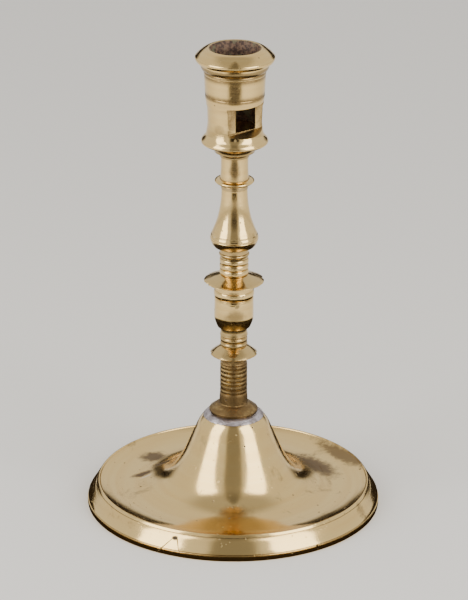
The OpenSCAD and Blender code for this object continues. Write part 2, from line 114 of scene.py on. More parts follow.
def placeAround(azimuth, distance, height):
    # azimuth 0 is towards the camera's side of the object
    turn = math.radians(studio["cameraAzimuth"] + azimuth)
    return Vector((math.sin(turn) * distance, -math.cos(turn) * distance, height))


def makeCamera():
    data = bpy.data.cameras.new("camera")
    data.sensor_fit = "VERTICAL"
    data.sensor_height = studio["sensor"]
    data.lens = studio["lens"]
    data.clip_start, data.clip_end = 0.05, 50
    camera = bpy.data.objects.new("camera", data)
    bpy.context.scene.collection.objects.link(camera)
    camera.location = placeAround(0, studio["cameraDistance"], studio["cameraHeight"])
    turn = math.radians(studio["cameraAzimuth"])
    camera.rotation_euler = (math.radians(90 - studio["cameraPitch"]), 0, turn)
    camera.rotation_euler.rotate_axis("Z", math.radians(studio["cameraRoll"]))
    bpy.context.scene.camera = camera


def makeFloor():
    bpy.ops.object.select_all(action="DESELECT")
    bpy.ops.mesh.primitive_plane_add(size=studio["floorSize"], location=(0, 0, 0))
    floor = bpy.context.object
    floor.name = "studioFloor"
    paper, tree, shader = plainMaterial("studioPaper", studio["floorColour"], 0.9, 0.1)
    floor.data.materials.append(paper)


def angleFromFront(tree, x, y):
    # how far a direction is turned from the camera's side, in radians
    azimuth = doMath(tree, "ARCTAN2", x, doMath(tree, "MULTIPLY", y, -1))
    turned = doMath(tree, "SUBTRACT", azimuth, math.radians(studio["cameraAzimuth"]))
    return doMath(tree, "ABSOLUTE", doMath(tree, "WRAP", turned, math.pi, -math.pi))


def sideStep(tree, angle, fromKey, softKey, near=False):
    low, high = math.radians(studio[fromKey]), math.radians(studio[fromKey] + studio[softKey])
    return softStep(tree, angle, high, low) if near else softStep(tree, angle, low, high)


def makeCloth():
    # dark cloth round the foot, with a patch of it in front, that only reflections see
    bpy.ops.object.select_all(action="DESELECT")
    bpy.ops.mesh.primitive_plane_add(size=studio["clothSize"], location=(0, 0, studio["clothLift"]))
    cloth = bpy.context.object
    cloth.name = "studioCloth"
    velvet, tree, shader = plainMaterial("studioVelvet", studio["clothColour"], 1, 0)
    split = addNode(tree, "SeparateXYZ", feeds={0: addNode(tree, "TexCoord").outputs["Object"]}).outputs
    flat = addNode(tree, "CombineXYZ", feeds={"X": split["X"], "Y": split["Y"]}).outputs[0]
    reach = addNode(tree, "VectorMath", {"operation": "LENGTH"}, {0: flat}).outputs["Value"]
    near = softStep(tree, reach, studio["clothRadius"] + studio["clothSoft"], studio["clothRadius"])
    fromFront = angleFromFront(tree, split["X"], split["Y"])
    begins = softStep(tree, reach, studio["patchFrom"] - studio["patchRise"], studio["patchFrom"])
    ends = softStep(tree, reach, studio["patchTo"] + studio["patchFall"], studio["patchTo"])
    patch = doMath(tree, "MULTIPLY", sideStep(tree, fromFront, "patchHalf", "patchSoft", near=True),
                   doMath(tree, "MULTIPLY", begins, ends))
    tree.links.new(doMath(tree, "MAXIMUM", near, patch), shader.inputs["Alpha"])
    cloth.data.materials.append(velvet)
    cloth.visible_camera = False
    cloth.visible_diffuse = False
    cloth.visible_shadow = False
    cloth.visible_transmission = False


lamps = {
    # azimuth, distance, height of the middle, width, height, watts, colour
    "softboxLeft": (-60, 0.9, 0.60, 0.60, 0.90, 6.6, (1.0, 0.97, 0.92)),
    "softboxRight": (51, 0.9, 0.60, 0.62, 0.90, 6.9, (1.0, 0.97, 0.92)),
}


def makeLamps():
    for name, (azimuth, distance, height, wide, tall, watts, colour) in lamps.items():
        data = bpy.data.lights.new(name, "AREA")
        data.shape = "RECTANGLE"
        data.size, data.size_y = wide, tall
        data.energy = watts
        data.color = colour
        lamp = bpy.data.objects.new(name, data)
        bpy.context.scene.collection.objects.link(lamp)
        lamp.location = placeAround(azimuth, distance, height)
        aim = Vector((0, 0, studio["aimHeight"])) - lamp.location
        lamp.rotation_euler = aim.to_track_quat("-Z", "Y").to_euler()
        lamp.visible_camera = False


def makeAir():
    # pale sheets round the object, as reflections see them: dim in front, overhead and low at the back
    world = bpy.data.worlds.new("studioAir")
    world.use_nodes = True
    tree = world.node_tree
    split = addNode(tree, "SeparateXYZ", feeds={0: addNode(tree, "TexCoord").outputs["Generated"]}).outputs
    fromFront = angleFromFront(tree, split["X"], split["Y"])
    rise = doMath(tree, "ARCSINE", split["Z"])

    def riseStep(lowKey, highKey):
        return softStep(tree, rise, math.radians(studio[lowKey]), math.radians(studio[highKey]))

    beside = sideStep(tree, fromFront, "slitAzimuth", "slitSoft")
    above = doMath(tree, "MULTIPLY", riseStep("slitFrom", "slitTo"), 1 - studio["slitLoss"])
    overhead = doMath(tree, "MULTIPLY", riseStep("roofFrom", "roofTo"), studio["roofLoss"])
    roof = doMath(tree, "SUBTRACT", 1, overhead)
    inFront = softStep(tree, fromFront, math.radians(studio["backTo"]), math.radians(studio["backFrom"]))
    lifted = doMath(tree, "MAXIMUM", riseStep("backLow", "backHigh"), inFront)
    ahead = doMath(tree, "MULTIPLY", doMath(tree, "MAXIMUM", beside, above), roof)
    amount = doMath(tree, "MULTIPLY", ahead, lifted)
    glossy = addNode(tree, "LightPath").outputs["Is Glossy Ray"]
    plain = doMath(tree, "SUBTRACT", 1, glossy)
    lit = doMath(tree, "MAXIMUM", amount, plain)
    colour = mixColour(tree, lit, studio["dimColour"], studio["paleColour"])
    background = tree.nodes["Background"]
    background.inputs["Strength"].default_value = studio["airStrength"]
    tree.links.new(colour, background.inputs["Color"])
    bpy.context.scene.world = world


makeCamera()
makeFloor()
makeCloth()
makeLamps()
makeAir()
print("camera, floor and lights are up")


# outlines of turned work, in millimetres

def arcPoints(cr, cz, rr, rz, fromDeg, toDeg, steps):
    turns = [math.radians(fromDeg + (toDeg - fromDeg) * i / steps) for i in range(steps + 1)]
    return [(cr + rr * math.cos(a), cz + rz * math.sin(a)) for a in turns]


def bead(root, proud, z, h, steps=12):
    return arcPoints(root, z + h / 2, proud, h / 2, -90, 90, steps)


def hollow(root, depth, z, h, steps=12):
    return arcPoints(root, z + h / 2, -depth, h / 2, -90, 90, steps)


def curve(p0, p1, p2, p3, steps=22):
    points = []
    for i in range(steps + 1):
        t = i / steps
        s = 1 - t
        points.append(tuple(s**3 * a + 3 * s * s * t * b + 3 * s * t * t * c + t**3 * d
                            for a, b, c, d in zip(p0, p1, p2, p3)))
    return points


def offsetLine(points, distance):
    moved = []
    for i, point in enumerate(points):
        ahead, behind = points[min(i + 1, len(points) - 1)], points[max(i - 1, 0)]
        dr, dz = ahead[0] - behind[0], ahead[1] - behind[1]
        length = math.hypot(dr, dz)
        moved.append((point[0] + distance * dz / length, point[1] - distance * dr / length))
    return moved


def scribe(outline, z, depth=0.12, width=0.3):
    # a fine turned groove cut square into the outline at height z
    cut, done = [], False
    for i, (r, height) in enumerate(outline):
        nextR, nextZ = outline[min(i + 1, len(outline) - 1)]
        if abs(height - z) > width / 2:
            cut.append((r, height))
        if not done and height <= z < nextZ:
            share = (z - height) / (nextZ - height)
            middle = r + (nextR - r) * share
            slope = (nextR - r) / (nextZ - height)
            cut += [(middle - slope * width / 2, z - width / 2), (middle - depth, z),
                    (middle + slope * width / 2, z + width / 2)]
            done = True
    return cut


fits = {"rodR": 2.5, "rodGap": 0.25, "spigotR": 4.4, "spigotH": 1.6, "spigotGap": 0.1, "endGap": 0.2}
rodHoleR = fits["rodR"] + fits["rodGap"]
recessR = fits["spigotR"] + fits["spigotGap"]
recessH = fits["spigotH"] + fits["endGap"]


def memberOutline(outside, recess, spigot):
    # closes an outside line with the bore for the rod, the recess below and the spigot above
    top = outside[-1][1]
    under = [(rodHoleR, recess), (recessR, recess), (recessR, 0)] if recess else [(rodHoleR, outside[0][1])]
    over = [(rodHoleR, top)]
    if spigot:
        over = [(fits["spigotR"], top), (fits["spigotR"], top + spigot), (rodHoleR, top + spigot)]
    return under + outside + over


# modelling helpers

def inEditMode(piece):
    bpy.ops.object.select_all(action="DESELECT")
    piece.select_set(True)
    bpy.context.view_layer.objects.active = piece
    bpy.ops.object.mode_set(mode="EDIT")
    bpy.ops.mesh.select_mode(type="VERT")
    bpy.ops.mesh.select_all(action="DESELECT")


def backToObject():
    bpy.ops.object.mode_set(mode="OBJECT")


def splitLong(points, longest):
    # a long straight needs rings along it, or the uneven skin turns to streaks
    split = []
    for (r0, z0), (r1, z1) in zip(points, points[1:]):
        parts = max(1, math.ceil(math.hypot(r1 - r0, z1 - z0) / longest))
        split += [(r0 + (r1 - r0) * i / parts, z0 + (z1 - z0) * i / parts) for i in range(parts)]
    return split + [points[-1]]


def turnOnLathe(name, outline, z=0.0, steps=160, longest=1.5):
    bpy.ops.object.select_all(action="DESELECT")
    bpy.ops.mesh.primitive_plane_add(size=mm, location=(outline[0][0] * mm, 0, (outline[0][1] + z) * mm))
    piece = bpy.context.object
    piece.name = name
    bpy.ops.object.mode_set(mode="EDIT")
    bpy.ops.mesh.merge(type="CENTER")
    closed = splitLong(outline + [outline[0]], longest)
    for (r0, z0), (r1, z1) in zip(closed, closed[1:]):
        bpy.ops.mesh.extrude_region_move(
            TRANSFORM_OT_translate={"value": ((r1 - r0) * mm, 0, (z1 - z0) * mm)})
    bpy.ops.mesh.select_all(action="SELECT")
    bpy.ops.mesh.spin(steps=steps, angle=math.tau, center=(0, 0, 0), axis=(0, 0, 1))
    bpy.ops.mesh.select_all(action="SELECT")
    bpy.ops.mesh.remove_doubles(threshold=0.004 * mm)
    bpy.ops.mesh.normals_make_consistent(inside=False)
    backToObject()
    bpy.ops.object.transform_apply(location=True, rotation=True, scale=True)
    return piece


def applyModifier(piece, modifier):
    bpy.ops.object.select_all(action="DESELECT")
    piece.select_set(True)
    bpy.context.view_layer.objects.active = piece
    bpy.ops.object.modifier_apply(modifier=modifier.name)


def breakEdges(piece, width, angle=38):
    # takes the sharpness off turned corners, as polishing does
    soften = piece.modifiers.new("brokenEdges", "BEVEL")
    soften.width = width * mm
    soften.segments = 2
    soften.limit_method = "ANGLE"
    soften.angle_limit = math.radians(angle)
    soften.use_clamp_overlap = True
    applyModifier(piece, soften)


def smooth(piece, angle=32):
    bpy.ops.object.select_all(action="DESELECT")
    piece.select_set(True)
    bpy.context.view_layer.objects.active = piece
    bpy.ops.object.shade_smooth_by_angle(angle=math.radians(angle))


def unevenSkin(piece, depth, grain, detail=1):
    # hand work leaves a turned skin slightly wavy, and it only ever loses metal
    clouds = bpy.data.textures.new(piece.name + "Waves", "CLOUDS")
    clouds.noise_scale = grain * mm
    clouds.noise_depth = detail
    waves = piece.modifiers.new("unevenSkin", "DISPLACE")
    waves.texture = clouds
    waves.texture_coords = "LOCAL"
    waves.strength = depth * mm
    waves.mid_level = 1
    applyModifier(piece, waves)


def dent(piece, place, push, size):
    # moves the nearest point of the skin, and what lies within size of it, by push
    target = Vector(place) * mm
    inEditMode(piece)
    mesh = bmesh.from_edit_mesh(piece.data)
    nearest = min(mesh.verts, key=lambda v: (v.co - target).length_squared)
    nearest.select_set(True)
    bmesh.update_edit_mesh(piece.data)
    bpy.ops.transform.translate(value=Vector(push) * mm, use_proportional_edit=True,
                                proportional_edit_falloff="SMOOTH", proportional_size=size * mm)
    backToObject()


def cutAway(piece, cutter):
    cut = piece.modifiers.new("cutAway", "BOOLEAN")
    cut.operation = "DIFFERENCE"
    cut.solver = "EXACT"
    cut.object = cutter
    applyModifier(piece, cut)
    bpy.data.objects.remove(cutter)


def cutSlits(piece, slits):
    # thin wedges let into the skin, each from its wide end to its point
    wedges = []
    for start, end, width, deep in slits:
        low, high = Vector(start) * mm, Vector(end) * mm
        along = high - low
        outward = Vector((low.x + high.x, low.y + high.y, 0))
        side = along.cross(outward).normalized()
        outward = side.cross(along).normalized()
        bpy.ops.object.select_all(action="DESELECT")
        bpy.ops.mesh.primitive_cube_add(size=1)
        wedge = bpy.context.object
        bpy.ops.object.mode_set(mode="EDIT")
        bpy.ops.transform.resize(value=(width * mm, 2 * deep * mm, along.length))
        bpy.ops.mesh.select_all(action="DESELECT")
        mesh = bmesh.from_edit_mesh(wedge.data)
        for vert in mesh.verts:
            vert.select_set(vert.co.z > 0)
        bmesh.update_edit_mesh(wedge.data)
        bpy.ops.transform.resize(value=(0.35, 1, 1))
        backToObject()
        turned = Matrix((side, outward, along.normalized())).transposed().to_4x4()
        wedge.matrix_world = Matrix.Translation((low + high) / 2) @ turned
        wedges.append(wedge)
    bpy.ops.object.select_all(action="DESELECT")
    for wedge in wedges:
        wedge.select_set(True)
    bpy.context.view_layer.objects.active = wedges[0]
    bpy.ops.object.join()
    bpy.ops.object.transform_apply(location=True, rotation=True, scale=True)
    inEditMode(wedges[0])
    bpy.ops.mesh.select_all(action="SELECT")
    bpy.ops.mesh.normals_make_consistent(inside=False)
    backToObject()
    cutAway(piece, wedges[0])


def finishPiece(piece, material, node):
    smooth(piece)
    piece.data.materials.clear()
    piece.data.materials.append(material)
    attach(piece, body)
    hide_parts(node)
    print(f"{piece.name}: {len(piece.data.polygons)} faces")


# shared finishes, as node groups

def startGroup(name, inputs, outputs):
    tree = bpy.data.node_groups.new(name, "ShaderNodeTree")
    for label, kind, value in inputs:
        socket = tree.interface.new_socket(label, in_out="INPUT", socket_type="NodeSocket" + kind)
        if value is not None:
            socket.default_value = value
    for label, kind in outputs:
        tree.interface.new_socket(label, in_out="OUTPUT", socket_type="NodeSocket" + kind)
    return tree, tree.nodes.new("NodeGroupInput").outputs, tree.nodes.new("NodeGroupOutput").inputs


def useGroup(tree, group, feeds):
    return addNode(tree, "Group", {"node_tree": group}, feeds).outputs


def buildTurningLines():
    # fine rings left by the turner's hook, in height and in tone
    tree, given, out = startGroup(
        "turningLines", [("Place", "Vector", None), ("LinesPerMetre", "Float", 2500.0)],
        [("Height", "Float"), ("Tone", "Float")])
    split = addNode(tree, "SeparateXYZ", feeds={0: given["Place"]}).outputs
    flat = addNode(tree, "CombineXYZ", feeds={"X": split["X"], "Y": split["Y"]}).outputs[0]
    radius = addNode(tree, "VectorMath", {"operation": "LENGTH"}, {0: flat}).outputs["Value"]
    across = doMath(tree, "MULTIPLY", radius, given["LinesPerMetre"])
    along = doMath(tree, "MULTIPLY", split["Z"], given["LinesPerMetre"])
    around = doMath(tree, "MULTIPLY", doMath(tree, "ADD", split["X"], split["Y"]), 60)
    rings = addNode(tree, "CombineXYZ", feeds={"X": across, "Y": along, "Z": around}).outputs[0]
    fine = addNode(tree, "TexNoise", feeds={"Vector": rings, "Scale": 1, "Detail": 4, "Roughness": 0.65})
    wide = addNode(tree, "TexNoise", feeds={"Vector": rings, "Scale": 0.22, "Detail": 2, "Roughness": 0.5})
    tree.links.new(fine.outputs["Fac"], out["Height"])
    tree.links.new(softStep(tree, wide.outputs["Fac"], 0.35, 0.65), out["Tone"])
    return tree


def buildScratches():
    # thin straight scratches that lie three ways, in patches
    tree, given, out = startGroup(
        "polishScratches",
        [("Place", "Vector", None), ("PerMetre", "Float", 900.0), ("Share", "Float", 0.3)],
        [("Mask", "Float")])
    threshold = doMath(tree, "SUBTRACT", 0.80, doMath(tree, "MULTIPLY", given["Share"], 0.2))
    ways = []
    for turn in ((0.3, 0.2, 0.5), (1.1, 0.4, 2.0), (0.5, 1.2, 3.4)):
        turned = addNode(tree, "VectorRotate", {"rotation_type": "EULER_XYZ"},
                         {"Vector": given["Place"], "Rotation": turn}).outputs[0]
        drawn = addNode(tree, "VectorMath", {"operation": "MULTIPLY"},
                        {0: turned, 1: (1, 0.04, 0.5)}).outputs[0]
        lines = addNode(tree, "TexNoise", feeds={"Vector": drawn, "Scale": given["PerMetre"], "Detail": 1})
        ways.append(softStep(tree, lines.outputs["Fac"], threshold, doMath(tree, "ADD", threshold, 0.05)))
    patches = noiseOf(tree, given["Place"], 70, 2)
    seen = doMath(tree, "MULTIPLY", largest(tree, ways), softStep(tree, patches, 0.42, 0.6))
    tree.links.new(seen, out["Mask"])
    return tree


def buildPits():
    # casting pits, here and there and of uneven size
    tree, given, out = startGroup(
        "castingPits", [("Place", "Vector", None), ("PerMetre", "Float", 450.0), ("Share", "Float", 0.1),
                        ("Size", "Float", 0.22)], [("Mask", "Float")])
    bent = noiseOf(tree, given["Place"], 900, 2)
    cells = addNode(tree, "TexVoronoi", feeds={"Vector": given["Place"], "Scale": given["PerMetre"]}).outputs
    chance = addNode(tree, "SeparateColor", feeds={0: cells["Color"]}).outputs
    size = doMath(tree, "MULTIPLY", given["Size"], doMath(tree, "ADD", chance["Green"], 0.4))
    reach = doMath(tree, "ADD", cells["Distance"], doMath(tree, "MULTIPLY", bent, 0.12))
    hole = softStep(tree, reach, doMath(tree, "ADD", size, 0.06), doMath(tree, "MULTIPLY", size, 0.6))
    picked = doMath(tree, "LESS_THAN", chance["Red"], given["Share"])
    tree.links.new(doMath(tree, "MULTIPLY", hole, picked), out["Mask"])
    return tree


def buildTarnish():
    # brown tarnish in clouds and in the grooves that polishing misses
    tree, given, out = startGroup(
        "brownTarnish", [("Place", "Vector", None), ("Crevice", "Float", 0.0), ("Share", "Float", 0.4),
                         ("PerMetre", "Float", 40.0)], [("Mask", "Float"), ("Mottle", "Float")])
    cloudy = {"Vector": given["Place"], "Scale": given["PerMetre"], "Detail": 6, "Roughness": 0.62,
              "Distortion": 0.5}
    clouds = addNode(tree, "TexNoise", feeds=cloudy).outputs["Fac"]
    mottle = noiseOf(tree, given["Place"], 650, 4, 0.7)
    low = doMath(tree, "SUBTRACT", 0.78, doMath(tree, "MULTIPLY", given["Share"], 0.4))
    patches = softStep(tree, doMath(tree, "ADD", clouds, doMath(tree, "MULTIPLY", mottle, 0.12)),
                       low, doMath(tree, "ADD", low, 0.16))
    held = doMath(tree, "MULTIPLY", given["Crevice"], doMath(tree, "ADD", mottle, 0.4))
    tree.links.new(doMath(tree, "MINIMUM", doMath(tree, "ADD", patches, held), 1), out["Mask"])
    tree.links.new(mottle, out["Mottle"])
    return tree


def buildSpot():
    # one place on the object, as an egg with a ragged edge
    tree, given, out = startGroup(
        "oneSpot", [("Place", "Vector", None), ("Centre", "Vector", None), ("Size", "Vector", (1, 1, 1)),
                    ("Ragged", "Float", 0.5)], [("Mask", "Float")])
    apart = addNode(tree, "VectorMath", {"operation": "SUBTRACT"},
                    {0: given["Place"], 1: given["Centre"]}).outputs[0]
    scaled = addNode(tree, "VectorMath", {"operation": "DIVIDE"}, {0: apart, 1: given["Size"]}).outputs[0]
    reach = addNode(tree, "VectorMath", {"operation": "LENGTH"}, {0: scaled}).outputs["Value"]
    noise = noiseOf(tree, given["Place"], 330, 4, 0.65)
    edge = doMath(tree, "MULTIPLY", doMath(tree, "SUBTRACT", noise, 0.5), given["Ragged"])
    tree.links.new(softStep(tree, doMath(tree, "ADD", reach, edge), 1.1, 0.4), out["Mask"])
    return tree


finishes = {"lines": buildTurningLines(), "scratches": buildScratches(), "pits": buildPits(),
            "tarnish": buildTarnish(), "spot": buildSpot()}


def paintedShadeBandMasks(tree, place, mottle, paintedShadeBands):
    # painted shade bands are (from height, to height, strength) in millimetres, with ragged edges: brown
    # laid on the undersides of the turned forms and where parts meet
    height = addNode(tree, "SeparateXYZ", feeds={0: place}).outputs["Z"]
    ragged = doMath(tree, "MULTIPLY_ADD", mottle, 1.2 * mm, height)
    masks = []
    for low, high, strength in paintedShadeBands:
        over = softStep(tree, ragged, (low + 0.2) * mm, (low + 0.9) * mm)
        under = softStep(tree, ragged, (high + 1.0) * mm, (high + 0.3) * mm)
        masks.append(doMath(tree, "MULTIPLY", doMath(tree, "MULTIPLY", over, under), strength))
    return largest(tree, masks)


def placeMasks(tree, place, spots):
    # spots are (centre, half sizes, ragged, strength) in millimetres
    masks = []
    for centre, size, ragged, strength in spots:
        mask = useGroup(tree, finishes["spot"], {"Place": place, "Centre": [c * mm for c in centre],
                                                 "Size": [c * mm for c in size], "Ragged": ragged})["Mask"]
        masks.append(doMath(tree, "MULTIPLY", mask, strength))
    return largest(tree, masks) if masks else None


brass = {
    "gold": (0.84, 0.61, 0.26, 1), "rich": (0.78, 0.52, 0.19, 1), "brown": (0.13, 0.078, 0.034, 1),
    "dirt": (0.035, 0.022, 0.014, 1), "pale": (0.90, 0.78, 0.55, 1),
    "soot": (0.055, 0.03, 0.024, 1), "wax": (0.20, 0.12, 0.075, 1), "verdigris": (0.16, 0.15, 0.09, 1),
}


def makeBrass(name, polish=0.16, tarnish=0.35, crevice=1.0, lines=1.0, linesPerMetre=2500.0, pits=0.06,
              scratches=0.3, dull=0.0, brown=(), dark=(), pale=(), paintedShadeBands=(), bore=False):
    material, tree, shader = plainMaterial(name, brass["gold"], polish)
    coords = addNode(tree, "TexCoord").outputs
    place = coords["Object"]
    pointed = addNode(tree, "NewGeometry").outputs["Pointiness"]
    low = softStep(tree, pointed, 0.5, 0.42)
    rubbed = softStep(tree, pointed, 0.56, 0.68)
    rings = useGroup(tree, finishes["lines"], {"Place": place, "LinesPerMetre": linesPerMetre})
    worn = useGroup(tree, finishes["scratches"], {"Place": place, "Share": scratches})["Mask"]
    holes = useGroup(tree, finishes["pits"], {"Place": place, "Share": pits})["Mask"]
    aged = useGroup(tree, finishes["tarnish"],
                    {"Place": place, "Crevice": doMath(tree, "MULTIPLY", low, crevice), "Share": tarnish})
    # tarnish, with the painted shade bands and the brown spots laid in, some of them painted reflections
    tarnishAndPaintedShadeMask = aged["Mask"]
    spots = placeMasks(tree, place, brown)
    if spots:
        tarnishAndPaintedShadeMask = doMath(tree, "MAXIMUM", tarnishAndPaintedShadeMask, spots)
    if paintedShadeBands:
        tarnishAndPaintedShadeMask = doMath(tree, "MAXIMUM", tarnishAndPaintedShadeMask, paintedShadeBandMasks(tree, place, aged["Mottle"], paintedShadeBands))
    dirtMask = holes
    spots = placeMasks(tree, place, dark)
    if spots:
        dirtMask = doMath(tree, "MAXIMUM", dirtMask, spots)
    base = mixColour(tree, doMath(tree, "MULTIPLY", rings["Tone"], 0.35), brass["gold"], brass["rich"])
    base = mixColour(tree, doMath(tree, "MULTIPLY", aged["Mottle"], dull), base, brass["brown"])
    base = mixColour(tree, doMath(tree, "MULTIPLY", tarnishAndPaintedShadeMask, 0.8), base, brass["brown"])
    base = mixColour(tree, doMath(tree, "MULTIPLY", rubbed, 0.6), base, brass["pale"])
    spots = placeMasks(tree, place, pale)
    if spots:
        base = mixColour(tree, spots, base, brass["pale"])
    base = mixColour(tree, dirtMask, base, brass["dirt"])
    rough = doMath(tree, "MULTIPLY_ADD", rings["Tone"], 0.05, polish)
    rough = doMath(tree, "MULTIPLY_ADD", tarnishAndPaintedShadeMask, 0.16, rough)
    rough = doMath(tree, "MULTIPLY_ADD", worn, 0.18, rough)
    rough = mixValue(tree, dirtMask, rough, 0.7)
    solid = doMath(tree, "MULTIPLY_ADD", dirtMask, -0.7, 1)
    if bore:
        # the inside looks towards the axis, and keeps a rough patina of soot and wax
        across = addNode(tree, "VectorMath", {"operation": "MULTIPLY"}, {0: place, 1: (1, 1, 0)}).outputs[0]
        outward = addNode(tree, "VectorMath", {"operation": "NORMALIZE"}, {0: across}).outputs[0]
        facing = addNode(tree, "VectorMath", {"operation": "DOT_PRODUCT"},
                         {0: coords["Normal"], 1: outward}).outputs["Value"]
        ragged = doMath(tree, "MULTIPLY_ADD", aged["Mottle"], 0.5, facing)
        inside = softStep(tree, ragged, 0.12, -0.12)
        patina = mixColour(tree, softStep(tree, aged["Mottle"], 0.42, 0.6), brass["soot"], brass["wax"])
        green = noiseOf(tree, place, 220, 5)
        patina = mixColour(tree, softStep(tree, green, 0.52, 0.66), patina, brass["verdigris"])
        base = mixColour(tree, inside, base, patina)
        rough = mixValue(tree, inside, rough, 0.62)
        solid = mixValue(tree, inside, solid, 0.25)
    tree.links.new(base, shader.inputs["Base Color"])
    tree.links.new(rough, shader.inputs["Roughness"])
    tree.links.new(solid, shader.inputs["Metallic"])
    ringBump = addNode(tree, "Bump", feeds={"Strength": 1, "Distance": 0.000012 * lines,
                                            "Height": rings["Height"]})
    sunk = doMath(tree, "ADD", doMath(tree, "MULTIPLY", worn, -0.12), doMath(tree, "MULTIPLY", dirtMask, -1))
    mottled = doMath(tree, "MULTIPLY_ADD", aged["Mottle"], 0.25 if bore else 0.12, sunk)
    pitBump = addNode(tree, "Bump", feeds={"Strength": 1, "Distance": 0.00010, "Height": mottled,
                                           "Normal": ringBump.outputs[0]})
    tree.links.new(pitBump.outputs[0], shader.inputs["Normal"])
    return material


def makeSolderGrey():
    material, tree, shader = plainMaterial("solderGrey", (0.5, 0.46, 0.48, 1), 0.4)
    place = addNode(tree, "TexCoord").outputs["Object"]
    grain = noiseOf(tree, place, 1400, 5, 0.7)
    clouds = noiseOf(tree, place, 240, 3)
    holes = useGroup(tree, finishes["pits"], {"Place": place, "PerMetre": 1100.0, "Share": 0.4})["Mask"]
    base = mixColour(tree, softStep(tree, clouds, 0.38, 0.62), (0.34, 0.30, 0.31, 1), (0.60, 0.56, 0.60, 1))
    base = mixColour(tree, holes, base, (0.06, 0.05, 0.04, 1))
    tree.links.new(base, shader.inputs["Base Color"])
    tree.links.new(doMath(tree, "MULTIPLY_ADD", grain, 0.3, 0.25), shader.inputs["Roughness"])
    tree.links.new(doMath(tree, "MULTIPLY_ADD", holes, -0.8, 0.95), shader.inputs["Metallic"])
    height = doMath(tree, "SUBTRACT", grain, holes)
    bump = addNode(tree, "Bump", feeds={"Strength": 1, "Distance": 0.00012, "Height": height})
    tree.links.new(bump.outputs[0], shader.inputs["Normal"])
    return material


def makeIronDull():
    material, tree, shader = plainMaterial("ironDull", (0.12, 0.11, 0.10, 1), 0.5)
    place = addNode(tree, "TexCoord").outputs["Object"]
    scale = noiseOf(tree, place, 900, 5, 0.7)
    rust = noiseOf(tree, place, 260, 5, 0.6)
    rusted = softStep(tree, rust, 0.48, 0.62)
    base = mixColour(tree, scale, (0.06, 0.055, 0.05, 1), (0.22, 0.20, 0.18, 1))
    base = mixColour(tree, rusted, base, (0.23, 0.10, 0.045, 1))
    tree.links.new(base, shader.inputs["Base Color"])
    tree.links.new(doMath(tree, "MULTIPLY_ADD", rusted, 0.35, 0.45), shader.inputs["Roughness"])
    tree.links.new(doMath(tree, "MULTIPLY_ADD", rusted, -0.8, 0.9), shader.inputs["Metallic"])
    height = doMath(tree, "MULTIPLY_ADD", rusted, 0.6, scale)
    bump = addNode(tree, "Bump", feeds={"Strength": 1, "Distance": 0.0002, "Height": height})
    tree.links.new(bump.outputs[0], shader.inputs["Normal"])
    return material


brassFoot = makeBrass("brassFoot", polish=0.12, tarnish=0.30, linesPerMetre=1400.0, scratches=0.45, brown=[
    ((-14.5, 47.5, 9), (8.5, 7, 4), 0.9, 1.15),     # brown patches behind the bell and to its left
    ((-31, 33, 9), (7.5, 3, 4), 1.2, 1.2),
    ((-16, 36, 9), (8.5, 3.2, 4), 1.2, 1.2),
    # painted reflection: the two brown patches right of the bell stand for dark surroundings mirrored in the
    # tray
    ((44.5, -8, 9), (8.5, 19, 5), 0.9, 1.15),
    ((36, 10, 9.5), (5, 9, 5), 1.1, 0.8),
    ((61.5, -9, 10.5), (5.5, 27, 5), 1.1, 1.0),     # worn patch at the back of the lip
    ((-22, -32, 9), (14, 10, 4), 0.9, 0.35),
], dark=[
    ((-58.6, -34.0, 8.0), (1.7, 1.7, 1.1), 0.6, 0.95),
    ((-43.4, 50.5, 10), (1.6, 1.4, 1.5), 0.7, 0.8),
], pale=[
    # painted glint: a thin pale streak on the tray left of the bell
    ((-31.5, 29.5, 9), (4.5, 0.9, 3), 0.9, 0.7),
])
brassStem = makeBrass("brassStem", polish=0.11, tarnish=0.30, paintedShadeBands=[
    # painted shade: brown on the undersides of the baluster, vase and neck ring, and where the discs meet
    # the next piece
    (126.8, 136.0, 0.45), (82.0, 96.5, 0.5), (162.0, 164.6, 0.6), (115.5, 119.0, 0.3), (77.5, 82.0, 0.3),
], dark=[
    ((-1.5, -9.5, 109.7), (0.5, 0.5, 0.45), 0.5, 1),
    ((-4.3, -8.5, 104.8), (1.2, 1.2, 0.9), 0.9, 0.6),
    ((-3.6, -10.9, 138.1), (0.45, 0.45, 0.4), 0.4, 1),
    ((-9.4, -6.7, 51.4), (0.6, 0.6, 0.5), 0.5, 1),
], brown=[
    ((-3.9, -5.3, 172.8), (3.1, 3.1, 6.2), 0.7, 0.85),   # painted reflection: brown down the side facing the camera, on the neck, baluster and vase, standing for the dark front they mirror
    ((-4.6, -6.4, 151.0), (2.7, 2.7, 11), 0.5, 0.85),
    ((-4.6, -7.4, 99.5), (5.5, 5.5, 3.6), 0.9, 0.6),
])
